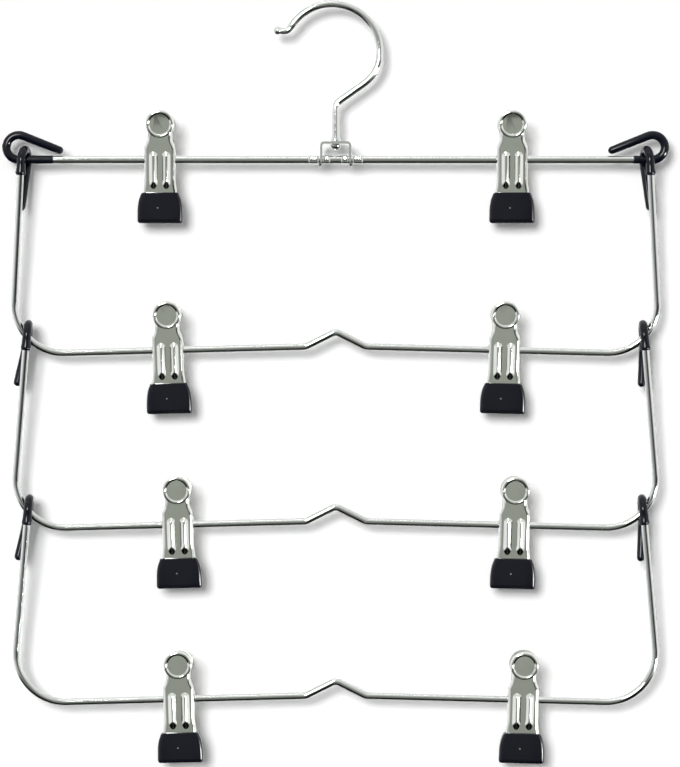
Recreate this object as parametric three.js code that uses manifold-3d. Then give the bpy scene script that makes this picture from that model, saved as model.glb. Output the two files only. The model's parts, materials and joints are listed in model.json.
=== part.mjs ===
// A tiered trouser hanger. A swivel hook turns in a stamped saddle that straddles a straight top bar.
// Three bent wire tiers hang below it, each by two moulded hooks, and every bar carries two sprung clips.
// Millimetres, +Z up. The front faces -Y, and the origin is where the hook rests on its rail.

import * as THREE from "three";
import { mergeVertices } from "three/addons/utils/BufferGeometryUtils.js";
import Module from "manifold-3d";

const wasm = await Module();
wasm.setup();

// Angles are written in degrees and used in radians
const degrees = THREE.MathUtils.degToRad;

// Gap left between pieces that touch, and the distance at which corners of one piece are one
const GAP = 0.3;
const WELD = 1e-4;

// Fineness: the turn between two stations of a bend, sides of a wire and of a turned shape, steps of an arc
const BEND_STEP = degrees(18);
const ROUND_SIDES = 8;
const TURNED_SIDES = 12;
const ARC_STEPS = 5;

// Wire diameters: swivel hook, top bar, tier, and the turned-down ends that the moulded hooks take
const HOOK_WIRE = 3.8;
const BAR_WIRE = 4;
const TIER_WIRE = 3.6;
const SPIGOT = 2.2;
const SPIGOT_ROOT = 1;

// Swivel hook: a round crook that tightens at the heel, a straight neck, and a ball at the tip
const CROOK_RADIUS = 25.5;
const CROOK_OFFSET = -2;
const CROOK_END = degrees(148);
const HEEL_RADIUS = 19;
const HEEL_START = degrees(-54.6);
const HEEL_END = degrees(-10);
const NECK_BEND_RADIUS = 5;
const TIP_RUN = 3.5;
const TIP_LENGTH = 5.4;
const TIP_TURN = degrees(-66.6);
const TIP_BEND_RADIUS = 4;
const BALL_DIAMETER = 4.4;
const COLLAR = { diameter: 5.2, height: 2 };
const HEAD = { diameter: 5.8, tip: 2.9, height: 2.9 };

// Saddle: a stamped U over the bar
const SADDLE_TOP = -71.5;
const SADDLE_WIDTH = 16.5;
const SADDLE_DROP = 12.9;
const SADDLE_DEPTH = 8.5;
const SADDLE_SHEET = 1.2;
const SADDLE_CORNER = 2;
const SADDLE_FLARE = 0.6;
const SADDLE_BORE = 4.8;
const STEM_BORE = 4.6;

// Top bar, with swaged stops on both sides of each saddle ear
const BAR_Z = -80.9;
const STOP_SPANS = [[3, 6.7], [9.1, 14.4]];
const STOP_WIDTH = 5.4;
const STOP_HEIGHT = 2.6;

// Moulded hooks: a socket on the wire, a round loop and a slanting arm with a round tip
const MOULD = 4.8;
const MOULD_TIP = 4.2;
const LOOP_RADIUS = 6.5;
const END_LOOP_X = 168.7;
const END_HOOK = { turn: degrees(201.5), arm: 20.7, mouth: 4.4, yaw: 0, lean: 0 };
const LEFT_SOCKET = 18.4;
const RIGHT_SOCKET = 10.2;
const LEG_HOOK = { turn: degrees(198), arm: 23, mouth: 5, socket: 7 };
const LEG_HOOK_YAW = degrees(12);
const LEG_HOOK_LEAN = degrees(-8);
const BORE_END = 1.2;
const TIP_ROUNDING = [[0, 1], [0.6, 0.8], [1, 0.35]];

// Tier frames: drop from the hooks to the bar ends, corners, roof slope of the bar and its middle hump
const TIER_DROP = 101.6;
const CORNER_X = 172.4;
const CORNER_RADIUS = 26;
const BAR_END_X = 146;
const ROOF = degrees(1.5);
const HUMP_HALF = 16;
const HUMP_RISE = 8;
const HUMP_FOOT_RADIUS = 6;
const HUMP_TOP_RADIUS = 4.5;
const TIER_LEAN = Math.asin(LOOP_RADIUS / TIER_DROP);

// Clips: two plates that pivot on the bar, leaning together towards rubber tips
const SHEET = 0.8;
const PLATE_OFFSET = 6.9;
const PLATE_LEAN = degrees(9.5);
const PAD_RADIUS = 7.5;
const PAD_Z = 19.8;
const PAD_RING = { inner: 4.9, outer: 6.3, height: 0.5 };
const NECK = { half: 6.4, z: 11.5 };
const SHOULDER_Z = 7.65;
const WAIST_Z = -11;
const FLARE = { half: 9, z: -16.4 };
const TONGUE = { half: 8.6, z: -31.3 };
const FRONT_HALF = 8.25;
const REAR_HALF = 7.05;
const RIB = { x: 3.4, base: 4.4, crest: 2.2, height: 0.9, top: 6, bottom: -13.6 };
const EAR_RADIUS = 3.9;
const EAR_BORE = 4.8;
const EAR_WRAP = degrees(110);
const FLANGE_DEPTH = 2.2;

// Rubber tips: flared sides, round lower corners, and flat faces that meet in the middle of the clip
const BOOT_TOP = -17.9;
const BOOT_BOTTOM = -33.9;
const BOOT_SIDE = [[9.8, 0], [11.3, 3.6], [12, 8.1], [12.15, 14.5]];
const BOOT_CORNER = 1.5;
const BOOT_WALL = 1.1;
const BOOT_FACE = 0.2;
const BOOT_CHAMFER = 1.5;

// Clip springs: wire, mean coil diameter, pitch, full turns and the lean of the two arms
const SPRING_WIRE = 1;
const SPRING_RADIUS = 3.2;
const SPRING_PITCH = 1.6;
const SPRING_FULL_TURNS = 3;
const SPRING_STEPS = 8;
const SPRING_SIDES = 5;
const SPRING_ARM_LEAN = degrees(18);
const SPRING_ARM = 18;

// Where the tiers hang, how high their loops sit on the wire above, how the loops turn in and their arms lean,
// and where their clips sit
const TOP_CLIPS = { left: -93.4, right: 93.8 };
const TIERS = [
  { name: "tier_2", hookX: 167, seat: -1.1, yaw: LEG_HOOK_YAW, lean: 0, clips: { left: -89.2, right: 89.6 } },
  { name: "tier_3", hookX: 164, seat: 0.5, yaw: 0, lean: LEG_HOOK_LEAN, clips: { left: -83.9, right: 94.9 } },
  { name: "tier_4", hookX: 163.4, seat: 0.5, yaw: 0, lean: LEG_HOOK_LEAN, clips: { left: -83.3, right: 99.6 } },
];
const SIDES = { left: -1, right: 1 };

// Finishes
const chrome = () => new THREE.MeshStandardMaterial({ color: 0xcfd2d0, roughness: 0.12, metalness: 1 });
const plate = () => new THREE.MeshStandardMaterial({ color: 0xb9beb7, roughness: 0.16, metalness: 1 });
const spring = () => new THREE.MeshStandardMaterial({ color: 0x9fa2a3, roughness: 0.3, metalness: 1 });
const moulding = () => new THREE.MeshStandardMaterial({ color: 0x17181c, roughness: 0.32, metalness: 0 });
const rubber = () => new THREE.MeshStandardMaterial({ color: 0x1b1c22, roughness: 0.55, metalness: 0 });

function piece(name, geometry, material) {
  const mesh = new THREE.Mesh(geometry, material());
  mesh.name = name;
  return mesh;
}

// Joining and cutting closed shapes
function solidOf(geometry) {
  const bare = geometry.clone();
  bare.deleteAttribute("normal");
  bare.deleteAttribute("uv");
  const merged = mergeVertices(bare, WELD);
  const vertProperties = merged.attributes.position.array;
  const triVerts = new Uint32Array(merged.index.array);
  return new wasm.Manifold(new wasm.Mesh({ numProp: 3, vertProperties, triVerts }));
}

function geometryOf(solid) {
  const mesh = solid.getMesh();
  const geometry = new THREE.BufferGeometry();
  geometry.setAttribute("position", new THREE.BufferAttribute(mesh.vertProperties, 3));
  geometry.setIndex(new THREE.BufferAttribute(mesh.triVerts, 1));
  geometry.computeVertexNormals();
  return geometry;
}

const join = (...shapes) => geometryOf(shapes.map(solidOf).reduce((a, b) => a.add(b)));
const common = (a, b) => geometryOf(solidOf(a).intersect(solidOf(b)));

function cut(body, ...tools) {
  const solids = tools.map(solidOf);
  return geometryOf(solids.reduce((a, b) => a.subtract(b), solidOf(body)));
}

// A wire that is swept through stations, each a point on its centreline and the way it runs there
class BentWire extends THREE.Curve {
  constructor(stations) {
    super();
    this.stations = stations;
  }

  stationAt(u) {
    return this.stations[Math.round(u * (this.stations.length - 1))];
  }

  getPointAt(u) {
    return this.stationAt(u).point.clone();
  }

  getTangentAt(u) {
    return this.stationAt(u).tangent.clone();
  }
}

const inXZ = (v) => new THREE.Vector3(v.x, 0, v.y);
const stationOf = (point, tangent) => ({ point: inXZ(point), tangent: inXZ(tangent) });
const ORIGIN = new THREE.Vector2();
const headingOf = (angle) => new THREE.Vector2(Math.cos(angle), Math.sin(angle));
const polar = (centre, radius, angle) => headingOf(angle).multiplyScalar(radius).add(centre);

// Stations on an arc in the XZ plane
function arcPath(centre, radius, from, to) {
  const steps = Math.ceil(Math.abs(to - from) / BEND_STEP);
  const quarter = Math.sign(to - from) * Math.PI / 2;
  return Array.from({ length: steps + 1 }, (_, k) => {
    const angle = from + (to - from) * k / steps;
    return stationOf(polar(centre, radius, angle), headingOf(angle + quarter));
  });
}

// The arc that rounds off one corner of a bent wire
function filletAt(before, here, after, radius) {
  const into = here.clone().sub(before).normalize();
  const out = after.clone().sub(here).normalize();
  const turn = Math.atan2(into.cross(out), into.dot(out));
  const start = into.clone().multiplyScalar(-radius * Math.tan(Math.abs(turn) / 2)).add(here);
  const inward = into.clone().rotateAround(ORIGIN, Math.sign(turn) * Math.PI / 2);
  const centre = inward.multiplyScalar(radius).add(start);
  return { into, turn, start, centre };
}

// Stations along straight runs whose corners, each with its own radius, are rounded off
function bentPath(corners) {
  const points = corners.map(([x, z]) => new THREE.Vector2(x, z));
  const last = points.length - 1;
  const first = points[1].clone().sub(points[0]).normalize();
  const final = points[last].clone().sub(points[last - 1]).normalize();
  const stations = [stationOf(points[0], first)];
  for (let i = 1; i < last; i += 1) {
    const { into, turn, start, centre } = filletAt(points[i - 1], points[i], points[i + 1], corners[i][2]);
    const steps = Math.ceil(Math.abs(turn) / BEND_STEP);
    for (let k = 0; k <= steps; k += 1) {
      const swept = turn * k / steps;
      const point = start.clone().rotateAround(centre, swept);
      stations.push(stationOf(point, into.clone().rotateAround(ORIGIN, swept)));
    }
  }
  return [...stations, stationOf(points[last], final)];
}

// One path from several that meet end to end
const joinPaths = (...paths) => paths.flatMap((path, i) => (i === 0 ? path : path.slice(1)));

// A regular section, and a tube of that section along a path
function polygon(radius, sides) {
  const corner = (_, k) => polar(ORIGIN, radius, (k + 0.5) * 2 * Math.PI / sides);
  return new THREE.Shape(Array.from({ length: sides }, corner));
}

function tube(stations, diameter, sides = ROUND_SIDES) {
  const section = polygon(diameter / 2, sides);
  const extrudePath = new BentWire(stations);
  const steps = stations.length - 1;
  return new THREE.ExtrudeGeometry(section, { steps, extrudePath, bevelEnabled: false });
}

// A tube that is as wide at each station as the station says
function taperedTube(stations) {
  const shape = tube(stations, 1);
  const { position } = shape.attributes;
  const vertex = new THREE.Vector3();
  for (let i = 0; i < position.count; i += 1) {
    vertex.fromBufferAttribute(position, i);
    const distance = ({ point }) => vertex.distanceTo(point);
    const ring = stations.reduce((a, b) => (distance(b) < distance(a) ? b : a));
    vertex.sub(ring.point).multiplyScalar(ring.width).add(ring.point);
    position.setXYZ(i, vertex.x, vertex.y, vertex.z);
  }
  return shape;
}

// A round bar along X from one place to another, straight or tapered
function rod(fromX, toX, diameter, endDiameter = diameter) {
  const length = toX - fromX;
  const shape = new THREE.CylinderGeometry(endDiameter / 2, diameter / 2, length, ROUND_SIDES);
  return shape.rotateZ(-Math.PI / 2).translate(fromX + length / 2, 0, 0);
}

// A flat shape drawn in X and Z with its thickness along Y, from front to back
function slabXZ(shape, front, back) {
  const depth = back - front;
  const slab = new THREE.ExtrudeGeometry(shape, { depth, bevelEnabled: false, curveSegments: ARC_STEPS });
  return slab.rotateX(Math.PI / 2).translate(0, back, 0);
}

// A flat shape drawn in Y and Z with its thickness along X
function slabYZ(shape, fromX, toX) {
  const depth = toX - fromX;
  const slab = new THREE.ExtrudeGeometry(shape, { depth, bevelEnabled: false, curveSegments: ARC_STEPS });
  return slab.rotateX(Math.PI / 2).rotateZ(Math.PI / 2).translate(fromX, 0, 0);
}

const shapeOf = (points) => new THREE.Shape(points.map(([x, y]) => new THREE.Vector2(x, y)));
const hole = (radius, x = 0, y = 0) => new THREE.Path().absarc(x, y, radius, 0, 2 * Math.PI, true);

// Swivel hook: crook, neck and stem bent from one wire, with its ball, collar and peened head
function swivelHook() {
  const inside = CROOK_RADIUS - HOOK_WIRE / 2;
  const crook = new THREE.Vector2(CROOK_OFFSET, -Math.sqrt(inside ** 2 - CROOK_OFFSET ** 2));
  const heel = polar(crook, CROOK_RADIUS - HEEL_RADIUS, HEEL_END);
  const neck = polar(heel, HEEL_RADIUS, HEEL_START);
  const bend = new THREE.Vector2(0, neck.y + neck.x / Math.tan(HEEL_START));
  const tipStart = polar(crook, CROOK_RADIUS, CROOK_END);
  const tipHeading = CROOK_END + Math.PI / 2;
  const tipBend = polar(tipStart, TIP_RUN, tipHeading);
  const ball = polar(tipBend, TIP_LENGTH, tipHeading + TIP_TURN);
  const headTop = SADDLE_TOP - SADDLE_SHEET - GAP;
  const wire = joinPaths(
    bentPath([[0, headTop - HEAD.height / 2], [0, bend.y, NECK_BEND_RADIUS], [neck.x, neck.y]]),
    arcPath(heel, HEEL_RADIUS, HEEL_START, HEEL_END),
    arcPath(crook, CROOK_RADIUS, HEEL_END, CROOK_END),
    bentPath([[tipStart.x, tipStart.y], [tipBend.x, tipBend.y, TIP_BEND_RADIUS], [ball.x, ball.y]]),
  );
  const tip = new THREE.SphereGeometry(BALL_DIAMETER / 2, TURNED_SIDES, TURNED_SIDES / 2);
  tip.translate(ball.x, 0, ball.y);
  const collarTop = HOOK_WIRE / 2 + GAP;
  const collar = new THREE.CylinderGeometry(collarTop, COLLAR.diameter / 2, COLLAR.height, TURNED_SIDES);
  collar.rotateX(Math.PI / 2).translate(0, 0, SADDLE_TOP + GAP + COLLAR.height / 2);
  const head = new THREE.CylinderGeometry(HEAD.diameter / 2, HEAD.tip / 2, HEAD.height, TURNED_SIDES);
  head.rotateX(Math.PI / 2).translate(0, 0, headTop - HEAD.height / 2);
  return piece("swivel_hook", join(tube(wire, HOOK_WIRE), tip, collar, head), chrome);
}

// Saddle: sheet folded over the bar, bored for the stem and for the bar
function hookSaddle() {
  const half = SADDLE_WIDTH / 2;
  const inner = half - SADDLE_SHEET;
  const foot = SADDLE_TOP - SADDLE_DROP;
  const knee = foot + 2 * SADDLE_SHEET;
  const right = [
    [inner, SADDLE_TOP - SADDLE_SHEET],
    [inner, knee],
    [inner + SADDLE_FLARE, foot],
    [half + SADDLE_FLARE, foot],
    [half, knee],
    [half, SADDLE_TOP - SADDLE_CORNER],
    [half - SADDLE_CORNER, SADDLE_TOP],
  ];
  const left = right.map(([x, z]) => [-x, z]).reverse();
  const sheet = slabXZ(shapeOf([...right, ...left]), -SADDLE_DEPTH / 2, SADDLE_DEPTH / 2);
  const stemBore = new THREE.CylinderGeometry(STEM_BORE / 2, STEM_BORE / 2, SADDLE_DROP, TURNED_SIDES);
  stemBore.rotateX(Math.PI / 2).translate(0, 0, SADDLE_TOP - SADDLE_SHEET / 2);
  const barBore = rod(-SADDLE_WIDTH, SADDLE_WIDTH, SADDLE_BORE).translate(0, 0, BAR_Z);
  return piece("hook_saddle", cut(sheet, stemBore, barBore), chrome);
}

// Top bar: a straight wire with swaged stops beside the saddle and turned-down ends
function topBar() {
  const leftEnd = -END_LOOP_X + LEFT_SOCKET + GAP;
  const rightEnd = END_LOOP_X - RIGHT_SOCKET - GAP;
  const spigot = END_LOOP_X - BORE_END - GAP;
  const stops = STOP_SPANS.flatMap(([from, to]) => Object.values(SIDES).map((side) => {
    const stop = new THREE.BoxGeometry(to - from, STOP_WIDTH, STOP_HEIGHT);
    return stop.translate(side * (from + to) / 2, 0, 0);
  }));
  const shape = join(rod(leftEnd, rightEnd, BAR_WIRE), rod(-spigot, spigot, SPIGOT), ...stops);
  return piece("top_bar", shape, chrome);
}

// Stations of a moulded hook about the centre of its loop: the wire comes in along +X, below the centre.
// The loop is turned about that wire by the yaw, and its arm leans sideways
function mouldedPath({ socket, mouth, turn, arm, yaw, lean }) {
  const start = -Math.PI / 2;
  const loop = arcPath(ORIGIN, LOOP_RADIUS, start, start + turn).map((at) => ({ ...at, width: MOULD }));
  const along = new THREE.Vector3(1, 0, 0);
  const mouthEnd = { point: new THREE.Vector3(-socket, 0, -LOOP_RADIUS), tangent: along, width: mouth };
  const axisY = new THREE.Vector3(0, 1, 0);
  const axisZ = new THREE.Vector3(0, 0, 1);
  const slant = along.clone().applyAxisAngle(axisZ, lean).applyAxisAngle(axisY, -turn);
  const armAt = (length, width) => ({
    point: slant.clone().multiplyScalar(length).add(loop.at(-1).point),
    tangent: slant,
    width,
  });
  const round = TIP_ROUNDING.map(([share, width]) => armAt(arm + share * MOULD_TIP / 2, width * MOULD_TIP));
  const root = new THREE.Vector3(0, 0, -LOOP_RADIUS);
  const turned = [...loop, ...round].map(({ point, tangent, width }) => ({
    point: point.clone().sub(root).applyAxisAngle(along, yaw).add(root),
    tangent: tangent.clone().applyAxisAngle(along, yaw),
    width,
  }));
  return [mouthEnd, ...turned];
}

// A moulded hook, bored for the end of its wire
function mouldedHook(name, spec) {
  const bore = rod(-spec.socket - GAP, -BORE_END, SPIGOT + 2 * GAP).translate(0, 0, -LOOP_RADIUS);
  return piece(name, cut(taperedTube(mouldedPath(spec)), bore), moulding);
}

function endHook(name, side, socket) {
  const hook = mouldedHook(name, { ...END_HOOK, socket });
  hook.position.set(side * END_LOOP_X, 0, BAR_Z + LOOP_RADIUS);
  hook.rotation.z = side < 0 ? Math.PI : 0;
  return hook;
}

// A tier's outline about the line of its hook loops: corners of the bent wire with their bend radii
function tierCorners(hookX) {
  const cornerZ = barHeight(CORNER_X);
  const leg = new THREE.Vector2(CORNER_X - hookX, cornerZ).normalize();
  const top = leg.clone().multiplyScalar(LEG_HOOK.socket + GAP);
  const footZ = barHeight(HUMP_HALF);
  const right = [
    [HUMP_HALF, footZ, HUMP_FOOT_RADIUS],
    [CORNER_X, cornerZ, CORNER_RADIUS],
    [hookX + top.x, top.y],
  ];
  const left = right.map(([x, ...rest]) => [-x, ...rest]).reverse();
  return { corners: [...left, [0, footZ + HUMP_RISE, HUMP_TOP_RADIUS], ...right], leg };
}

// Height of a tier's bar below its hooks, at a distance from the middle
function barHeight(x) {
  return -TIER_DROP + (BAR_END_X - Math.abs(x)) * Math.tan(ROOF);
}

// Height of the wire on a tier's corner, where the next tier hangs
function cornerHeight({ hookX }, x) {
  const points = tierCorners(hookX).corners.slice(-3).map(([px, pz]) => new THREE.Vector2(px, pz));
  const { centre } = filletAt(...points, CORNER_RADIUS);
  return centre.y - Math.sqrt(CORNER_RADIUS ** 2 - (x - centre.x) ** 2);
}

// The wire of one tier, with a turned-down end in each hook
function tierFrame({ name, hookX }) {
  const { corners, leg } = tierCorners(hookX);
  const length = LEG_HOOK.socket - BORE_END - GAP;
  const spigots = Object.values(SIDES).map((side) => {
    const spigot = rod(-SPIGOT_ROOT, length, SPIGOT);
    spigot.rotateY(-Math.atan2(-leg.y, -side * leg.x));
    const [x, z] = side < 0 ? corners[0] : corners.at(-1);
    return spigot.translate(x, 0, z);
  });
  const frame = piece(`${name}_frame`, join(tube(bentPath(corners), TIER_WIRE), ...spigots), chrome);
  frame.position.y = -LOOP_RADIUS;
  return frame;
}

// A hook on top of a tier's leg, whose loop goes back over the wire above
function legHook({ name, hookX, yaw, lean }, sideName) {
  const side = SIDES[sideName];
  const { leg } = tierCorners(hookX);
  const hook = mouldedHook(`${name}_hook_${sideName}`, { ...LEG_HOOK, yaw: side * yaw, lean });
  const up = new THREE.Vector3(-side * leg.x, 0, -leg.y);
  const back = new THREE.Vector3(0, 1, 0);
  hook.setRotationFromMatrix(new THREE.Matrix4().makeBasis(up, back.clone().cross(up), back));
  hook.position.x = side * hookX;
  return hook;
}

// Outline of a clip plate from the round pad down to the tongue that the rubber tip takes
function plateOutline(half) {
  const neckHalf = Math.min(NECK.half, half - SHEET);
  const leave = -Math.acos(NECK.half / PAD_RADIUS);
  const sides = [
    [neckHalf, NECK.z],
    [half, SHOULDER_Z],
    [half, WAIST_Z],
    [FLARE.half, FLARE.z],
    [TONGUE.half, FLARE.z - GAP],
    [TONGUE.half, TONGUE.z],
  ];
  const outline = new THREE.Shape();
  outline.absarc(0, PAD_Z, PAD_RADIUS, leave, Math.PI - leave);
  sides.forEach(([x, z]) => outline.lineTo(-x, z));
  sides.toReversed().forEach(([x, z]) => outline.lineTo(x, z));
  return outline;
}

// Side flange of a clip plate, with the ear that is bored for the bar
function flange() {
  const edge = -PLATE_OFFSET;
  const rim = edge + FLANGE_DEPTH;
  const shape = new THREE.Shape();
  shape.moveTo(edge, WAIST_Z - SHEET);
  shape.lineTo(rim - SHEET, WAIST_Z);
  shape.lineTo(rim, -EAR_RADIUS - FLANGE_DEPTH);
  shape.absarc(0, 0, EAR_RADIUS, -EAR_WRAP, EAR_WRAP);
  shape.lineTo(rim, SHOULDER_Z - SHEET);
  shape.lineTo(edge, SHOULDER_Z);
  shape.holes.push(hole(EAR_BORE / 2));
  return shape;
}

// One stamped jaw, in front of the bar and before it leans: plate, pad ring, ribs and flanges
function jawShape(half) {
  const face = -PLATE_OFFSET - SHEET / 2;
  const body = slabXZ(plateOutline(half), face, face + SHEET);
  const disc = new THREE.Shape().absarc(0, PAD_Z, PAD_RING.outer, 0, 2 * Math.PI);
  disc.holes.push(hole(PAD_RING.inner, 0, PAD_Z));
  const ring = slabXZ(disc, face - PAD_RING.height, face + SHEET / 2);
  const section = shapeOf([
    [-RIB.base / 2, SHEET / 2],
    [-RIB.base / 2, 0],
    [-RIB.crest / 2, -RIB.height],
    [RIB.crest / 2, -RIB.height],
    [RIB.base / 2, 0],
    [RIB.base / 2, SHEET / 2],
  ]);
  const ribs = Object.values(SIDES).map((side) => {
    const rib = new THREE.ExtrudeGeometry(section, { depth: RIB.top - RIB.bottom, bevelEnabled: false });
    return rib.translate(side * RIB.x, face, RIB.bottom);
  });
  const flanges = [slabYZ(flange(), -half, SHEET - half), slabYZ(flange(), half - SHEET, half)];
  return join(body, ring, ...ribs, ...flanges).rotateX(PLATE_LEAN);
}

// One rubber tip in front of the clip's middle, hollowed for the tongue of its jaw
function bootShape() {
  const side = BOOT_SIDE.map(([x, down]) => [x, BOOT_TOP - down]);
  const outline = new THREE.Shape();
  outline.moveTo(-side[0][0], BOOT_TOP);
  side.slice(1).forEach(([x, z]) => outline.lineTo(-x, z));
  outline.lineTo(BOOT_CORNER - side.at(-1)[0], BOOT_BOTTOM);
  outline.lineTo(side.at(-1)[0] - BOOT_CORNER, BOOT_BOTTOM);
  side.toReversed().forEach(([x, z]) => outline.lineTo(x, z));
  const outerY = -(PLATE_OFFSET + SHEET / 2 + BOOT_WALL) / Math.cos(PLATE_LEAN);
  const outerAt = (z) => outerY - z * Math.tan(PLATE_LEAN);
  const profile = shapeOf([
    [outerAt(BOOT_TOP), BOOT_TOP],
    [outerAt(BOOT_BOTTOM), BOOT_BOTTOM],
    [-BOOT_FACE, BOOT_BOTTOM],
    [-BOOT_FACE, BOOT_TOP - BOOT_CHAMFER],
    [-BOOT_FACE - BOOT_CHAMFER, BOOT_TOP],
  ]);
  const width = 2 * side.at(-1)[0];
  const body = common(slabXZ(outline, -2 * PLATE_OFFSET, 0), slabYZ(profile, -width, width));
  const pocketBottom = TONGUE.z - GAP;
  const pocketHeight = WAIST_Z - pocketBottom;
  const pocket = new THREE.BoxGeometry(2 * (TONGUE.half + GAP), SHEET + 2 * GAP, pocketHeight);
  pocket.translate(0, -PLATE_OFFSET, pocketBottom + pocketHeight / 2);
  return cut(body, pocket.rotateX(PLATE_LEAN));
}

// Torsion spring round the bar: one arm up each handle, and a helix between their tangent points
function springPath() {
  const start = Math.PI + SPRING_ARM_LEAN;
  const sweep = Math.PI - 2 * SPRING_ARM_LEAN + SPRING_FULL_TURNS * 2 * Math.PI;
  const steps = Math.ceil(SPRING_STEPS * sweep / (2 * Math.PI));
  const rise = SPRING_PITCH / (2 * Math.PI);
  const coil = Array.from({ length: steps + 1 }, (_, k) => {
    const swept = sweep * k / steps;
    const angle = start + swept;
    const x = rise * (swept - sweep / 2);
    const y = SPRING_RADIUS * Math.cos(angle);
    const z = SPRING_RADIUS * Math.sin(angle);
    return { point: new THREE.Vector3(x, y, z), tangent: new THREE.Vector3(rise, -z, y).normalize() };
  });
  const armEnd = ({ point, tangent }, length) => ({
    point: tangent.clone().multiplyScalar(length).add(point),
    tangent: tangent.clone(),
  });
  return [armEnd(coil[0], -SPRING_ARM), ...coil, armEnd(coil.at(-1), SPRING_ARM)];
}

// Least gap between a coil's turns, measured on its centreline points at least half a turn apart
function leastCoilGap(stations, diameter, apart) {
  let least = Infinity;
  stations.forEach(({ point }, i) => stations.slice(i + apart).forEach((other) => {
    least = Math.min(least, point.distanceTo(other.point) - diameter);
  }));
  return least;
}

// One clip about the bar: two jaws, their rubber tips and the spring between them
function clip(name) {
  const group = new THREE.Group();
  group.name = `${name}_clip`;
  const front = [
    piece(`${name}_front_jaw`, jawShape(FRONT_HALF), plate),
    piece(`${name}_front_tip`, bootShape(), rubber),
  ];
  const rear = [
    piece(`${name}_rear_jaw`, jawShape(REAR_HALF), plate),
    piece(`${name}_rear_tip`, bootShape(), rubber),
  ];
  rear.forEach((mesh) => mesh.rotateZ(Math.PI));
  const coil = piece(`${name}_spring`, tube(springPath(), SPRING_WIRE, SPRING_SIDES), spring);
  group.add(...front, ...rear, coil);
  return group;
}

// A tier on its pivot line, leaning so that its bar hangs below that line while its clips stay plumb
function tier(spec, pivot) {
  const group = new THREE.Group();
  group.name = spec.name;
  group.position.copy(pivot);
  group.rotation.x = TIER_LEAN;
  group.add(tierFrame(spec), legHook(spec, "left"), legHook(spec, "right"));
  Object.entries(spec.clips).forEach(([sideName, x]) => {
    const hung = clip(`${spec.name}_${sideName}`);
    hung.position.set(x, -LOOP_RADIUS, barHeight(x));
    hung.rotation.set(-TIER_LEAN, Math.sign(x) * ROOF, 0, "YXZ");
    group.add(hung);
  });
  return group;
}

const hanger = new THREE.Group();
hanger.name = "tiered_trouser_hanger";
const bar = topBar();
bar.position.z = BAR_Z;
hanger.add(swivelHook(), hookSaddle(), bar);
hanger.add(endHook("end_hook_left", SIDES.left, LEFT_SOCKET));
hanger.add(endHook("end_hook_right", SIDES.right, RIGHT_SOCKET));
Object.entries(TOP_CLIPS).forEach(([sideName, x]) => {
  const hung = clip(`tier_1_${sideName}`);
  hung.position.set(x, 0, BAR_Z);
  hanger.add(hung);
});

let wire = new THREE.Vector3(0, 0, BAR_Z);
TIERS.forEach((spec, i) => {
  const group = tier(spec, wire.setZ(wire.z + spec.seat));
  hanger.add(group);
  const next = TIERS[i + 1];
  if (next) {
    group.updateMatrix();
    wire = new THREE.Vector3(0, -LOOP_RADIUS, cornerHeight(spec, next.hookX)).applyMatrix4(group.matrix);
  }
});

const coilGap = leastCoilGap(springPath().slice(1, -1), SPRING_WIRE, SPRING_STEPS / 2);
console.log(`clip springs: least gap of a coil to itself ${coilGap.toFixed(2)} mm`);

export default hanger;
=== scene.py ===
"""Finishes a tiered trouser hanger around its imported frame: bent wires, moulded hooks and sprung clips."""

import json
import math
from types import SimpleNamespace

import bmesh
import bpy
from bpy.props import FloatProperty, FloatVectorProperty, PointerProperty
from bpy.types import Operator, Panel, PropertyGroup
from mathutils import Matrix, Vector


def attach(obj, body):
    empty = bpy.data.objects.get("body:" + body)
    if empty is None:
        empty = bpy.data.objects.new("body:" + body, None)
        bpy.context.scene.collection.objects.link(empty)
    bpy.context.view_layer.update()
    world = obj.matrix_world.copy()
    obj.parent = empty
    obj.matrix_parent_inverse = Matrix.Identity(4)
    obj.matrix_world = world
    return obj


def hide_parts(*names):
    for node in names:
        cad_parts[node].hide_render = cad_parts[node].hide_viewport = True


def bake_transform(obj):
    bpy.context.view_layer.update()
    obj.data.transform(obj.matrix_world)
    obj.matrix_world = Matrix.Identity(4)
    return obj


bl_info = {
    "name": "Tiered trouser hanger",
    "version": (1, 0, 0),
    "blender": (4, 5, 0),
    "location": "View3D > Sidebar > Hanger",
    "description": "Models a four-tier wire trouser hanger with moulded hooks and sprung clips",
    "category": "Add Mesh",
}

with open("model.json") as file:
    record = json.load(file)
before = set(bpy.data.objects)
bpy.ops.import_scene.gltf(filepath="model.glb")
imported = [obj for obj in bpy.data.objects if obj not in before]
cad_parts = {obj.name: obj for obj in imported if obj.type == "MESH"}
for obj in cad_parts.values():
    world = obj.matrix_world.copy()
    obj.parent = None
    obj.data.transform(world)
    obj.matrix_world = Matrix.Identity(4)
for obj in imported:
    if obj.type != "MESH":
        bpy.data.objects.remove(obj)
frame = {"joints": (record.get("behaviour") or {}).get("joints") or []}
JOINTS = {joint["name"]: joint for joint in frame["joints"]}

# Shapes are drawn in millimetres and become metres when they are placed in the frame
MM = 0.001

# Directions: the front faces -Y, and a bend that is positive about FACING turns from +X towards +Z
RIGHT = Vector((1, 0, 0))
BACK = Vector((0, 1, 0))
UP = Vector((0, 0, 1))
FACING = -BACK
SIDES = {"left": -1, "right": 1}

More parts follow.
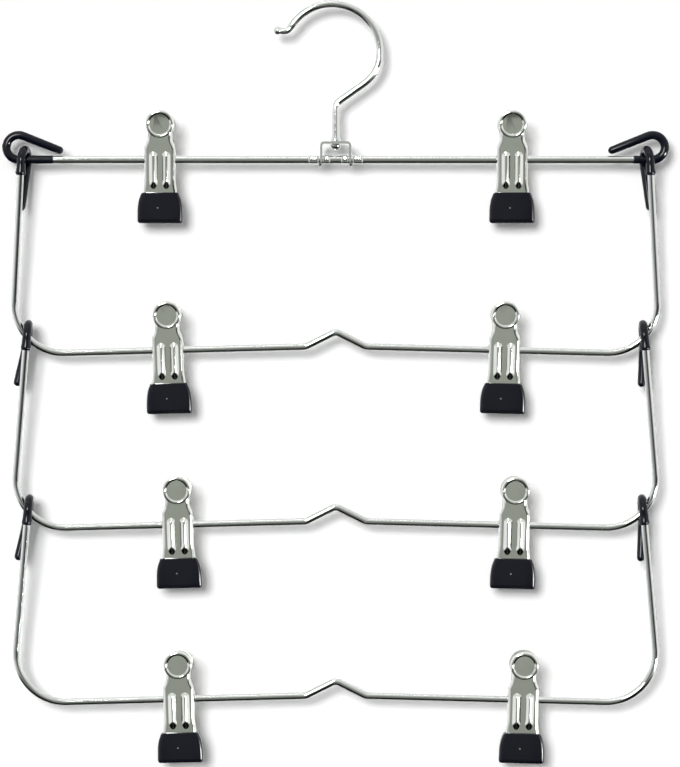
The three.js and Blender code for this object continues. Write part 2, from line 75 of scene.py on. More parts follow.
# Fineness: sides of round shapes, steps of arcs, steps of rounded edges from wide to narrow, steps of a
# round tip and how far it closes, turn in one step of a bend and of a coil, weld distance, and the widest
# angle that is shaded smooth
WIRE_SIDES = 28
TURNED_SIDES = 40
SPRING_SIDES = 12
GATE_SIDES = 20
BALL_SEGMENTS = (28, 18)
PAD_STEPS = 40
EAR_STEPS = 24
WIDE_STEPS = 6
MIDDLE_STEPS = 5
NARROW_STEPS = 4
FINE_STEPS = 3
DOME_STEPS = 5
DOME_ANGLE = math.radians(80)
BEND_STEP = math.radians(5)
COIL_STEP = math.radians(12)
WELD = 1e-4
SMOOTH_ANGLE = math.radians(35)

# Gap between the pieces that touch in the frame
GAP = 0.3

# Swivel hook: angles of the crook, its heel and its tip, the bends beside them, how far the wire runs into
# its head, and the shapes of the collar and the head by radius and height
CROOK_OFFSET = -2.0
CROOK_END = math.radians(148)
HEEL_START = math.radians(-54.6)
HEEL_END = math.radians(-10)
NECK_BEND_RADIUS = 5.0
TIP_RUN = 3.5
TIP_LENGTH = 5.4
TIP_TURN = math.radians(-66.6)
TIP_BEND_RADIUS = 4.0
HEAD_OVERLAP = 1.0
COLLAR_PROFILE = [
    (1.0, 2.3), (2.05, 2.3), (2.35, 2.05), (2.5, 1.6), (2.6, 0.8), (2.6, 0.4), (2.4, 0.1), (1.0, 0.1),
]
HEAD_PROFILE = [
    (1.0, 0), (2.75, 0), (2.9, -0.2), (2.85, -0.8), (2.5, -1.6), (1.8, -2.4), (1.3, -2.85), (0, -2.9),
]

# Saddle and top bar: heights in the frame, and the grooved stops on both sides of each saddle ear: spans,
# sloping ends, round corners, the land's share of a groove's pitch, and the depth of a groove
SADDLE_TOP = -71.5
BAR_Z = -80.9
STOP_SPANS = [(3.0, 6.7), (9.1, 14.4)]
STOP_LIP = 0.5
STOP_TAPER = 0.86
STOP_CORNER = 1.0
STOP_LAND = 0.4
STOP_GROOVE = 0.1

# Moulded hooks: where the end loops sit, socket lengths, turns of the loop, arm lengths, how the loop and the
# arm of a leg hook turn aside, the mouth of a socket, and the bead behind the mouth of a leg hook
END_LOOP_X = 168.7
END_SOCKETS = {"left": 18.4, "right": 10.2}
END_TURN = math.radians(201.5)
END_ARM = 20.7
LEG_SOCKET = 7.0
LEG_TURN = math.radians(198)
LEG_ARM = 23.0
LEG_YAW = math.radians(12)
LEG_LEAN = math.radians(-8)
LEAN_RADIUS = 8.0
MOUTH_DEPTH = 1.2
MOUTH_LIP = 0.35
MOUTH_PLAY = 0.1
MOUTH_RIM = 0.15
LEG_BEAD = 0.5
BEAD_RISE = 0.5
BEAD_TOP = 0.9
BEAD_FALL = 0.8

# Tiers: where their hooks hang, how far the loops turn in and the arms lean, and the run of the wire
TIERS = {"tier_2": (167.0, LEG_YAW, 0.0), "tier_3": (164.0, 0.0, LEG_LEAN), "tier_4": (163.4, 0.0, LEG_LEAN)}
CORNER_X = 172.4
BAR_END_X = 146.0
ROOF = math.radians(1.5)
HUMP_FOOT_RADIUS = 6.0
HUMP_TOP_RADIUS = 4.5

# Clips: lean and outline of a plate, where its turned edge ends, its ribs, pad ring and ears, and the
# flared sides, edges and gate mark of a rubber tip
PLATE_LEAN = math.radians(9.5)
PAD_Z = 19.8
NECK = (6.4, 11.5)
SHOULDER_Z = 7.65
WAIST_Z = -11.0
FLARE = (9.0, -16.4)
TONGUE = (8.6, -31.3)
PLATE_CORNER = 1.6
LIP_END_Z = FLARE[1] - 1.0
RIB_X = 3.4
RIB_TOP = 2.8
RIB_BOTTOM = -9.9
RIB_TAPER = 2.2
RIB_PROFILE = [
    (2.4, 0.12), (2.25, -0.02), (2.13, -0.12), (0.77, -1.26), (0.65, -1.36), (0.45, -1.45), (0.2, -1.5),
    (0, -1.5),
]
RING_PROFILE = [
    (7.4, 1.45), (7.38, 0.3), (7.3, -0.15), (7.12, -0.42), (6.9, -0.55), (6.5, -0.64), (6.2, -0.62),
    (6.05, -0.55), (5.3, 0.03), (5.15, 0.15),
]
EAR_RADIUS = 3.9
EAR_SPREAD = 2.0
EAR_WRAP = math.radians(110)
BOOT_TOP = -17.9
BOOT_BOTTOM = -33.9
BOOT_SIDE = [(9.8, BOOT_TOP), (11.3, -21.5), (12.0, -26.0), (12.15, BOOT_BOTTOM)]
BOOT_FLARE_RADIUS = 1.5
BOOT_REAR_EDGE = 0.35
GATE_PROFILE = [(0.5, 0.1), (0.45, -0.15), (0.3, -0.28), (0, -0.32)]
GATE_X = -1.2

# Springs: full turns of the coil, and the lean of the arm at each end of it
SPRING_FULL_TURNS = 3
SPRING_ARM_LEAN = math.radians(18)

# Finishes: detail of the noise in their patches and their grain, and the noise over which the gloss changes
PATCH_DETAIL = 3.0
GRAIN_DETAIL = 2.0
GRAIN_SPAN = (0.3, 0.7)

# Key light: the way it travels, how wide it looks, and its strength
KEY_DIRECTION = Vector((0.26, 1, -0.26)).normalized()
KEY_ANGLE = math.radians(23)
KEY_STRENGTH = 2.5

# Soft boxes that only show in reflections: the way to the hanger, width and height in metres, and watts
SOFT_BOXES = {
    "top_box": (Vector((0.15, 0.45, -0.9)), (3.2, 0.32), 16.0),
    "right_box": (Vector((-0.8, 0.52, 0.32)), (1.4, 0.78), 400.0),
    "front_box": (KEY_DIRECTION, (1.9, 1.9), 200.0),
}

# Studio in front of the hanger, by height: black floor, grey room, dark band at the lens, white ceiling
STUDIO_FRONT = [
    (-1.0, "#141414"), (-0.87, "#343534"), (-0.7, "#6a6d68"), (-0.47, "#90948d"), (-0.21, "#a2a69e"),
    (-0.165, "#4c4e4b"), (-0.04, "#4c4e4b"), (0.0, "#aaada8"), (0.4, "#d6d8d4"), (0.7, "#e6e7e5"),
    (1.0, "#eeefed"),
]

# Studio beside the hanger, from left to right: bright on both sides, brightest on the right
STUDIO_ACROSS = [
    (-1.0, "#ffffff"), (-0.88, "#f4f4f4"), (-0.7, "#c4c5c4"), (-0.45, "#b4b6b3"), (-0.3, "#787a76"),
    (0.3, "#50524f"), (0.45, "#a0a29e"), (0.7, "#d8d8d8"), (0.88, "#ffffff"), (1.0, "#ffffff"),
]

# The horizon beside the hanger, from left to right, which the legs of the tiers show: grey, then black
STUDIO_HORIZON = [
    (-1.0, "#ffffff"), (-0.95, "#f2f2f2"), (-0.92, "#b4b8ba"), (-0.3, "#96999a"), (0.0, "#5c5e5e"),
    (0.25, "#1e1e1e"), (0.93, "#101010"), (0.95, "#f2f2f2"), (1.0, "#ffffff"),
]

# Where the zones of the studio fade into each other, as parts of a direction of length 1, and the plain fill
STUDIO_HORIZON_FOOT = (-0.255, -0.235)
STUDIO_HORIZON_TOP = (-0.02, -0.11)
STUDIO_BESIDE = (0.16, 0.28)
STUDIO_CEILING = (0.5, 0.2)
STUDIO_FLOOR = (-0.52, -0.42)
STUDIO_BEHIND = (-0.05, 0.05)
STUDIO_FILL = 0.42

# Backdrop: how much light it sends back, and the little by which it stays above white where nothing shades it
BACKDROP_SHADE = 0.97
BACKDROP_MARGIN = 0.08

# Plain colours of nodes
WHITE = (1, 1, 1, 1)
BLACK = (0, 0, 0, 1)


def length(millimetres_long, name, description):
    """A length of the hanger, kept in metres as Blender does."""
    return FloatProperty(
        name=name, description=description, default=millimetres_long * MM, min=0, unit="LENGTH"
    )


def linear(hex_colour):
    """The linear red, green and blue of a hex colour."""
    channels = [int(hex_colour[i : i + 2], 16) / 255 for i in (1, 3, 5)]
    return [c / 12.92 if c <= 0.04045 else ((c + 0.055) / 1.055) ** 2.4 for c in channels]


def colour(hex_colour, name, description):
    """A colour of one finish."""
    return FloatVectorProperty(
        name=name, description=description, default=linear(hex_colour), size=3, min=0, max=1, subtype="COLOR"
    )


def millimetres(sizes):
    """The lengths of a property group as plain numbers in millimetres."""
    names = [name for name in sizes.bl_rna.properties.keys() if name not in ("rna_type", "name")]
    return SimpleNamespace(**{name: getattr(sizes, name) / MM for name in names})


class HookSizes(PropertyGroup):
    """Swivel hook and the saddle that it turns in."""

    wire: length(3.8, "Wire", "Diameter of the hook's wire")
    tip_wire: length(2.9, "Tip wire", "Diameter of the wire beside the ball")
    crook_radius: length(25.5, "Crook radius", "Bend radius of the crook, on the wire's middle")
    heel_radius: length(19, "Heel radius", "Bend radius of the tighter heel")
    ball: length(4.4, "Ball", "Diameter of the ball at the tip")
    saddle_width: length(16.5, "Saddle width", "Width of the saddle over its ears")
    saddle_drop: length(12.9, "Saddle drop", "Height of the saddle")
    saddle_depth: length(8.5, "Saddle depth", "Depth of the saddle from front to back")
    saddle_sheet: length(1.2, "Saddle sheet", "Thickness of the saddle's sheet")
    saddle_corner: length(2, "Saddle corner", "Bend radius of the saddle's two folds")
    saddle_flare: length(0.6, "Saddle flare", "How far the feet of the ears turn out")


class WireSizes(PropertyGroup):
    """Top bar, tiers and the moulded hooks on their ends."""

    bar: length(4, "Bar wire", "Diameter of the top bar")
    tier: length(3.6, "Tier wire", "Diameter of the tiers' wire")
    stop_width: length(5.3, "Stop width", "Depth of a grooved stop, from front to back")
    stop_height: length(4.3, "Stop height", "Height of a grooved stop")
    groove_pitch: length(0.9, "Groove pitch", "Pitch of the grooves across the stops")
    drop: length(101.6, "Tier drop", "Height from a tier's hooks to the ends of its bar")
    corner: length(26, "Corner radius", "Bend radius of a tier's lower corners")
    hump_half: length(16, "Hump half width", "Half the width of the hump in the middle of a tier")
    hump_rise: length(8, "Hump rise", "Height of the hump")
    moulding: length(4.6, "Moulding", "Thickness of a moulded hook round its loop")
    moulding_tip: length(4.2, "Moulding tip", "Thickness of a moulded hook at its tip")
    end_mouth: length(4.4, "End hook mouth", "Diameter of an end hook's socket at its mouth")
    leg_mouth: length(5, "Leg hook mouth", "Diameter of a leg hook's socket at its mouth")
    loop: length(6.5, "Loop radius", "Bend radius of a moulded hook's loop")


class ClipSizes(PropertyGroup):
    """Jaws, rubber tips and springs of the clips."""

    sheet: length(0.8, "Sheet", "Thickness of the jaws' sheet")
    offset: length(6.9, "Plate offset", "Distance from the bar to the middle of a jaw's sheet")
    front_half: length(8.25, "Front half width", "Half the width of a front jaw")
    rear_half: length(7.05, "Rear half width", "Half the width of a rear jaw, between the front jaw's ears")
    pad: length(7.5, "Pad radius", "Radius of the round finger pad")
    lip: length(2.3, "Lip", "Depth of the turned edge round a jaw")
    fold: length(2, "Fold", "Bend radius of the turned edge")
    ear_bore: length(4.8, "Ear bore", "Bore of the ears for the bar")
    boot_wall: length(1.1, "Tip wall", "Rubber over the front of the sheet")
    boot_face: length(0.2, "Tip gap", "Half the gap between the two rubber faces")
    boot_corner: length(1.6, "Tip corner", "Radius of the lower corners of a rubber tip")
    boot_edge: length(1.9, "Tip edge", "Radius of the front edges of a rubber tip")
    spring_wire: length(1, "Spring wire", "Diameter of the spring wire")
    spring_radius: length(3.2, "Spring radius", "Radius of the coil, on the wire's middle")
    spring_pitch: length(1.6, "Spring pitch", "Advance of the coil in one turn")
    spring_arm: length(18, "Spring arm", "Length of the arm up each jaw")


class FinishColours(PropertyGroup):
    """Colours of the finishes."""

    wire: colour("#e4e6e4", "Bright wire", "Chrome plate on the drawn wires and the saddle")
    plate: colour("#eceee9", "Clip plate", "Plated sheet of the clips, a little greener than the wire")
    spring: colour("#9c9fa0", "Spring wire", "Hard-drawn spring steel")
    moulding: colour("#070917", "Moulding", "Black moulded plastic of the hooks")
    rubber: colour("#0d0e19", "Rubber tip", "Blue-black soft rubber of the tips")
    # Painted highlight: the pale gate colour stands in for the light that the gate nub catches
    gate: colour("#686a70", "Painted gate highlight", "Pale colour painted on a tip's gate nub as its highlight")


class StageSizes(PropertyGroup):
    """Camera, backdrop and soft boxes."""

    distance: length(2600, "Camera distance", "Distance from the camera to the middle of the hanger")
    view_height: length(408.2, "View height", "Height of the photograph's frame at the hanger")
    view_x: length(2.3, "View X", "How far right of the hook's stem the frame is centred")
    view_drop: length(200.1, "View drop", "How far below the rail the frame is centred")
    backdrop: length(13.3, "Backdrop", "Distance from the hanger's middle back to the backdrop")
    backdrop_size: length(3000, "Backdrop size", "Width and height of the backdrop")
    box_distance: length(6000, "Soft box distance", "Distance from the soft boxes to the hanger")


class WireBender:
    """Makes a round wire: straight runs are extruded, and bends are spun about their own centres."""

    def __init__(self, bm, point, heading, diameter, sides=WIRE_SIDES):
        self.bm = bm
        self.point = Vector(point)
        self.heading = Vector(heading).normalized()
        self.diameter = diameter
        turn = self.heading.to_track_quat("Z", "Y").to_matrix().to_4x4()
        place = Matrix.Translation(self.point) @ turn
        ring = bmesh.ops.create_circle(bm, segments=sides, radius=diameter / 2, matrix=place)["verts"]
        self.edges = edges_among(ring)

    def run(self, distance, diameter=None):
        """A straight length, tapered where it ends with another diameter."""
        ring = extrude_edges(self.bm, self.edges, self.heading * distance)
        self.point = self.point + self.heading * distance
        if diameter is not None:
            scale = [diameter / self.diameter] * 3
            bmesh.ops.scale(self.bm, verts=ring, vec=scale, space=Matrix.Translation(-self.point))
            self.diameter = diameter
        self.edges = edges_among(ring)

    def bend(self, radius, turn, axis=FACING):
        """A bend of that radius, positive about the axis."""
        inward = axis.cross(self.heading) * math.copysign(radius, turn)
        self.spin(self.point + inward, axis, turn, BEND_STEP)

    def coil(self, centre, axis, turn, pitch):
        """A helix round the axis that advances by the pitch in each turn."""
        self.spin(Vector(centre), axis, turn, COIL_STEP, pitch * turn / math.tau)

    def spin(self, centre, axis, turn, step, advance=0.0):
        """Spins the open end of the wire about an axis."""
        steps = math.ceil(abs(turn) / step)
        made = bmesh.ops.spin(
            self.bm, geom=self.edges, cent=centre, axis=axis, angle=turn, steps=steps,
            dvec=axis * advance / steps,
        )
        rotation = Matrix.Rotation(turn, 3, axis)
        self.point = centre + rotation @ (self.point - centre) + axis * advance
        self.heading = rotation @ self.heading
        self.edges = [item for item in made["geom_last"] if isinstance(item, bmesh.types.BMEdge)]

    def corner(self, here, radius, turn):
        """Runs towards a corner and bends round it."""
        self.run((here - self.point).length - radius * math.tan(abs(turn) / 2))
        self.bend(radius, turn)

    def cap(self):
        """Closes the open end."""
        bmesh.ops.contextual_create(self.bm, geom=self.edges)

    def round_off(self):
        """Closes the open end with a dome."""
        radius = self.diameter / 2
        angles = [DOME_ANGLE * step / DOME_STEPS for step in range(DOME_STEPS + 1)]
        for before, after in zip(angles, angles[1:]):
            self.run(radius * (math.sin(after) - math.sin(before)), 2 * radius * math.cos(after))
        self.cap()


def edges_among(verts):
    """The edges that join these vertices to each other."""
    edges = (edge for vert in verts for edge in vert.link_edges if edge.other_vert(vert) in verts)
    return list(dict.fromkeys(edges))


def verts_among(items):
    """The vertices in a list of vertices, edges and faces."""
    return [item for item in items if isinstance(item, bmesh.types.BMVert)]


def ray(angle):
    """The direction at an angle in the XZ plane, from +X towards +Z."""
    return Vector((math.cos(angle), 0, math.sin(angle)))


def bend_through(bm, corners, diameter):
    """A wire in the XZ plane through corners of X, Z and bend radius, closed at both ends."""
    points = [Vector((x, 0, z)) for x, z, _ in corners]
    wire = WireBender(bm, points[0], points[1] - points[0], diameter)
    wire.cap()
    for here, after, (_, _, radius) in zip(points[1:], points[2:], corners[1:]):
        out = after - here
        turn = math.atan2(FACING.dot(wire.heading.cross(out)), wire.heading.dot(out))
        wire.corner(here, radius, turn)
    wire.run((points[-1] - wire.point).length)
    wire.cap()


def add_edges(bm, verts):
    """Joins vertices in their order and returns the edges."""
    return [bm.edges.new(pair) for pair in zip(verts, verts[1:])]


def turned(profile, sides=TURNED_SIDES):
    """A shape of radius and height, spun round the Z axis."""
    bm = bmesh.new()
    verts = [bm.verts.new((radius, 0, height)) for radius, height in profile]
    edges = add_edges(bm, verts)
    bmesh.ops.spin(
        bm, geom=verts + edges, cent=(0, 0, 0), axis=UP, angle=math.tau, steps=sides, use_merge=True
    )
    bmesh.ops.remove_doubles(bm, verts=bm.verts, dist=WELD)
    return bm


def absorb(bm, other, place=Matrix()):
    """Moves a shape to its place and adds it to another, as a part of the same piece."""
    bmesh.ops.transform(other, matrix=place, verts=other.verts)
    bmesh.ops.recalc_face_normals(other, faces=other.faces)
    mesh = bpy.data.meshes.new("part")
    other.to_mesh(mesh)
    other.free()
    bm.from_mesh(mesh)
    bpy.data.meshes.remove(mesh)


def extrude_edges(bm, edges, offset):
    """Extrudes edges by an offset and returns the new corners."""
    verts = verts_among(bmesh.ops.extrude_edge_only(bm, edges=edges)["geom"])
    bmesh.ops.translate(bm, verts=verts, vec=offset)
    return verts


def extrude_faces(bm, faces, offset):
    """Extrudes faces by an offset and returns the new corners."""
    verts = verts_among(bmesh.ops.extrude_face_region(bm, geom=faces)["geom"])
    bmesh.ops.translate(bm, verts=verts, vec=offset)
    return verts


def round_edges(bm, edges, radius, segments):
    """Rounds off edges."""
    bmesh.ops.bevel(
        bm, geom=edges, offset=radius, offset_type="OFFSET", affect="EDGES", segments=segments,
        profile=0.5, material=-1, clamp_overlap=False,
    )


def round_corners(bm, verts, radius, segments):
    """Rounds off the corners of a flat outline."""
    bmesh.ops.bevel(
        bm, geom=verts, offset=radius, offset_type="OFFSET", affect="VERTICES", segments=segments,
        profile=0.5, material=-1, clamp_overlap=True,
    )


def add_mesh(name, bm, material):
    """Adds a shape to the scene as an object of one material."""
    mesh = bpy.data.meshes.new(name)
    bm.to_mesh(mesh)
    bm.free()
    mesh.materials.append(material)
    item = bpy.data.objects.new(name, mesh)
    bpy.context.scene.collection.objects.link(item)
    return item


def make_piece(name, bm, place, finish, slot, node, *body):
    """Places a shape in the frame as a piece that stands for a CAD node and rides on a body, if given."""
    bmesh.ops.transform(bm, matrix=place @ Matrix.Scale(MM, 4), verts=bm.verts)
    bmesh.ops.recalc_face_normals(bm, faces=bm.faces)
    piece = add_mesh(name, bm, finish)
    piece.data.shade_smooth()
    piece.data.set_sharp_from_angle(angle=SMOOTH_ANGLE)
    if body:
        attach(piece, *body)
    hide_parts(node)
    return piece


def at(x, y, z):
    """A place in the frame, from millimetres."""
    return Matrix.Translation(Vector((x, y, z)) * MM)


def joint_place(name):
    """The place of a joint, with X along its axis."""
    joint = JOINTS[name]
    turn = RIGHT.rotation_difference(Vector(joint["axis"])).to_matrix().to_4x4()
    return Matrix.Translation(joint["pos_m"]) @ turn


def add_node(tree, kind, inputs=None, **settings):
    """Adds a node. Inputs are values or the outputs that feed them, and settings are its own properties."""
    node = tree.nodes.new(kind)
    for name, value in settings.items():
        setattr(node, name, value)
    for name, value in (inputs or {}).items():
        if isinstance(value, bpy.types.NodeSocket):
            tree.links.new(value, node.inputs[name])
        else:
            node.inputs[name].default_value = value
    return node


def make_finish(name, base, metallic, roughness, patch, grain, relief, shade, specular=0.5):
    """A finish whose tone and height drift over patches, with a finer grain in gloss and height, in mm."""
    material = bpy.data.materials.get(name)
    if material:
        return material
    material = bpy.data.materials.new(name)
    material.use_nodes = True
    tree = material.node_tree
    tree.nodes.clear()
    spot = add_node(tree, "ShaderNodeTexCoord").outputs["Object"]
    patches, grains = [
        add_node(tree, "ShaderNodeTexNoise", {"Vector": spot, "Scale": 1 / (size * MM), "Detail": detail})
        for size, detail in ((patch, PATCH_DETAIL), (grain, GRAIN_DETAIL))
    ]
    darker = (*[channel * shade for channel in base], 1)
    tone = add_node(
        tree, "ShaderNodeMix", {0: patches.outputs["Fac"], 6: darker, 7: (*base, 1)}, data_type="RGBA"
    )
    gloss = add_node(
        tree, "ShaderNodeMapRange",
        {
            "Value": grains.outputs["Fac"],
            "From Min": GRAIN_SPAN[0],
            "From Max": GRAIN_SPAN[1],
            "To Min": roughness[0],
            "To Max": roughness[1],
        },
    )
    height = add_node(tree, "ShaderNodeBump", {"Height": patches.outputs["Fac"], "Distance": relief[0] * MM})
    bump = add_node(
        tree, "ShaderNodeBump",
        {"Height": grains.outputs["Fac"], "Distance": relief[1] * MM, "Normal": height.outputs["Normal"]},
    )
    shader = add_node(
        tree, "ShaderNodeBsdfPrincipled",
        {
            "Base Color": tone.outputs[2],
            "Metallic": metallic,
            "Roughness": gloss.outputs["Result"],
            "Specular IOR Level": specular,
            "Normal": bump.outputs["Normal"],
        },
    )
    add_node(tree, "ShaderNodeOutputMaterial", {"Surface": shader.outputs["BSDF"]})
    return material


def wire_finish(context):
    """Bright chrome plate on drawn wire: sharp reflections that waver a little along the wire."""
    base = context.scene.hanger_colours.wire
    return make_finish(
        "Chrome plate on drawn wire", base, metallic=1, roughness=(0.05, 0.1), patch=6, grain=0.8,
        relief=(0.006, 0.002), shade=0.95,
    )


def plate_finish(context):
    """Chrome plate on pressed sheet: reflections that swim over the sheet's slight waves."""
    base = context.scene.hanger_colours.plate
    return make_finish(
        "Chrome plate on pressed steel", base, metallic=1, roughness=(0.07, 0.13), patch=5, grain=0.8,
        relief=(0.03, 0.002), shade=0.94,
    )


def spring_finish(context):
    """Hard-drawn spring steel: greyer and duller than the plating round it."""
    base = context.scene.hanger_colours.spring
    return make_finish(
        "Hard-drawn spring steel", base, metallic=1, roughness=(0.24, 0.34), patch=3, grain=0.5,
        relief=(0.004, 0.003), shade=0.85,
    )


def moulding_finish(context):
    """Black moulded polypropylene: deep black with narrow highlights that break up a little."""
    base = context.scene.hanger_colours.moulding
    return make_finish(
        "Black moulded polypropylene", base, metallic=0, roughness=(0.1, 0.16), patch=4, grain=0.7,
        relief=(0.02, 0.003), shade=0.7, specular=0.3,
    )


def rubber_finish(context):
    """Soft vinyl rubber: blue-black with a broad satin sheen and a fine skin."""
    base = context.scene.hanger_colours.rubber
    return make_finish(
        "Soft black vinyl rubber", base, metallic=0, roughness=(0.17, 0.25), patch=6, grain=0.5,
        relief=(0.02, 0.003), shade=0.8, specular=0.4,
    )


def gate_highlight_finish(context):
    """Pale dull vinyl on a tip's gate nub: its pale colour is a painted highlight where the nub catches the
    light.
    """
    base = context.scene.hanger_colours.gate
    return make_finish(
        "Vinyl with painted gate highlight", base, metallic=0, roughness=(0.3, 0.4), patch=0.5, grain=0.2,
        relief=(0.02, 0.01), shade=0.8,
    )


def model_swivel_hook(hook):
    """The bent wire of the hook with its ball, its collar and the peened head under the saddle."""
    bm = bmesh.new()
    inside = hook.crook_radius - hook.wire / 2
    crook = Vector((CROOK_OFFSET, 0, -math.sqrt(inside**2 - CROOK_OFFSET**2)))
    heel = crook + ray(HEEL_END) * (hook.crook_radius - hook.heel_radius)
    neck = heel + ray(HEEL_START) * hook.heel_radius
    head_top = SADDLE_TOP - hook.saddle_sheet - GAP
    wire = WireBender(bm, (0, 0, head_top - HEAD_OVERLAP), UP, hook.wire)
    wire.corner(Vector((0, 0, neck.z + neck.x / math.tan(HEEL_START))), NECK_BEND_RADIUS, HEEL_START)
    wire.run((neck - wire.point).length)
    wire.bend(hook.heel_radius, HEEL_END - HEEL_START)
    wire.bend(hook.crook_radius, CROOK_END - HEEL_END)
    setback = TIP_BEND_RADIUS * math.tan(abs(TIP_TURN) / 2)
    wire.run(TIP_RUN - setback, (hook.wire + hook.tip_wire) / 2)
    wire.bend(TIP_BEND_RADIUS, TIP_TURN)
    wire.run(TIP_LENGTH - setback, hook.tip_wire)
    ball = Matrix.Translation(wire.point)
    around, along = BALL_SEGMENTS
    bmesh.ops.create_uvsphere(bm, u_segments=around, v_segments=along, radius=hook.ball / 2, matrix=ball)
    absorb(bm, turned(COLLAR_PROFILE), Matrix.Translation((0, 0, SADDLE_TOP)))
    absorb(bm, turned(HEAD_PROFILE), Matrix.Translation((0, 0, head_top)))
    return bm


def model_saddle(hook):
    """The sheet strip of the saddle, folded over the bar, with round feet."""
    bm = bmesh.new()
    half = hook.saddle_width / 2
    foot = SADDLE_TOP - hook.saddle_drop
    knee = foot + 2 * hook.saddle_sheet
    right = [(half, SADDLE_TOP), (half, knee), (half + hook.saddle_flare, foot)]
    path = [(-x, z) for x, z in reversed(right)] + right
    x, z = path[0]
    ends = [bm.verts.new((x, y, z)) for y in (-hook.saddle_depth / 2, hook.saddle_depth / 2)]
    edge = bm.edges.new(ends)
    lines = [edge]
    for (x0, z0), (x1, z1) in zip(path, path[1:]):
        edge = edges_among(extrude_edges(bm, [edge], (x1 - x0, 0, z1 - z0)))[0]
        lines.append(edge)
    feet = [vert for line in (lines[0], lines[-1]) for vert in line.verts]
    folds = lines[2:4]
    round_edges(bm, folds, hook.saddle_corner, WIDE_STEPS)
    round_corners(bm, feet, hook.saddle_corner, MIDDLE_STEPS)
    bmesh.ops.recalc_face_normals(bm, faces=bm.faces)
    top = max(bm.faces, key=lambda face: face.calc_center_median().z)
    if top.normal.z < 0:
        bmesh.ops.reverse_faces(bm, faces=bm.faces)
    bmesh.ops.solidify(bm, geom=bm.faces, thickness=hook.saddle_sheet)
    return bm


def model_stop(wires, span):
    """A stop pressed on the bar: a square sleeve with grooves across it, between two sloping ends."""
    bm = bmesh.new()
    start, end = span
    size = wires.stop_height * math.sqrt(2)
    sleeve = WireBender(bm, (start, 0, 0), RIGHT, size, 4)
    bmesh.ops.rotate(bm, verts=bm.verts, matrix=Matrix.Rotation(math.pi / 4, 3, RIGHT))
    sleeve.cap()
    round_corners(bm, bm.verts, STOP_CORNER, NARROW_STEPS)
    sleeve.edges = list(bm.edges)
    bmesh.ops.scale(bm, verts=bm.verts, vec=[STOP_TAPER] * 3, space=Matrix.Translation(-sleeve.point))
    sleeve.diameter = size * STOP_TAPER
    sleeve.run(STOP_LIP, size)
    rows = round((end - start - 2 * STOP_LIP) / wires.groove_pitch)
    step = (end - start - 2 * STOP_LIP) / rows
    for _ in range(rows):
        sleeve.run(step * STOP_LAND)
        sleeve.run(step * (1 - STOP_LAND) / 2, size - 2 * STOP_GROOVE)
        sleeve.run(step * (1 - STOP_LAND) / 2, size)
    sleeve.run(STOP_LIP, size * STOP_TAPER)
    sleeve.cap()
    bmesh.ops.scale(bm, verts=bm.verts, vec=(1, wires.stop_width / wires.stop_height, 1))
    return bm


def model_top_bar(wires):
    """The straight wire from socket to socket, with its grooved stops."""
    bm = bmesh.new()
    left = END_SOCKETS["left"] - END_LOOP_X - MOUTH_DEPTH
    right = END_LOOP_X - END_SOCKETS["right"] + MOUTH_DEPTH
    wire = WireBender(bm, (left, 0, 0), RIGHT, wires.bar)
    wire.cap()
    wire.run(right - left)
    wire.cap()
    for start, end in STOP_SPANS:
        absorb(bm, model_stop(wires, (start, end)))
        absorb(bm, model_stop(wires, (-end, -start)))
    return bm


def model_moulded_hook(wires, wire, mouth, socket, turn, arm, yaw=0.0, lean=0.0, bead=0.0):
    """A moulded hook about the centre of its loop: open socket with a bead, loop, slanting arm and round tip.

    Yaw turns the loop and the arm about the socket, and lean bends the arm to one side.
    """
    bm = bmesh.new()
    hook = WireBender(bm, (MOUTH_DEPTH - socket, 0, -wires.loop), RIGHT, wire + MOUTH_PLAY)
    hook.run(-MOUTH_DEPTH)
    hook.run(0, max(mouth - 2 * MOUTH_LIP, wire + MOUTH_RIM))
    hook.run(MOUTH_LIP, mouth)
    hook.run(BEAD_RISE, mouth + bead)
    hook.run(BEAD_TOP)
    hook.run(BEAD_FALL, mouth)
    hook.run(socket - MOUTH_LIP - BEAD_RISE - BEAD_TOP - BEAD_FALL, wires.moulding)
    aside = Matrix.Rotation(yaw, 3, RIGHT)
    hook.bend(wires.loop, turn, aside @ FACING)
    if lean:
        hook.bend(LEAN_RADIUS, lean, aside @ Matrix.Rotation(turn, 3, FACING) @ UP)
    hook.run(arm, wires.moulding_tip)
    hook.round_off()
    return bm


def bar_height(wires, x):
    """Height of a tier's bar below its hooks, at a distance from the middle."""
    return -wires.drop + (BAR_END_X - abs(x)) * math.tan(ROOF)


def leg_direction(wires, hook_x):
    """The direction down a tier's right leg."""
    return Vector((CORNER_X - hook_x, 0, bar_height(wires, CORNER_X))).normalized()


def model_tier(wires, hook_x):
    """The bent wire of a tier: legs, round corners, roof-shaped bar and hump."""
    bm = bmesh.new()
    top = Vector((hook_x, 0, 0)) + leg_direction(wires, hook_x) * (LEG_SOCKET - MOUTH_DEPTH)
    foot = bar_height(wires, wires.hump_half)
    right = [
        (wires.hump_half, foot, HUMP_FOOT_RADIUS),
        (CORNER_X, bar_height(wires, CORNER_X), wires.corner),
        (top.x, top.z, 0),
    ]
    left = [(-x, z, radius) for x, z, radius in reversed(right)]
    bend_through(bm, [*left, (0, foot + wires.hump_rise, HUMP_TOP_RADIUS), *right], wires.tier)
    return bm


def leg_hook_place(wires, hook_x, side):
    """Where a leg's hook sits in its tier: X up the leg, Z to the back."""
    leg = leg_direction(wires, hook_x)
    up = Vector((-side * leg.x, 0, -leg.z))
    turn = Matrix((up, BACK.cross(up), BACK)).transposed().to_4x4()
    return at(side * hook_x, 0, 0) @ turn


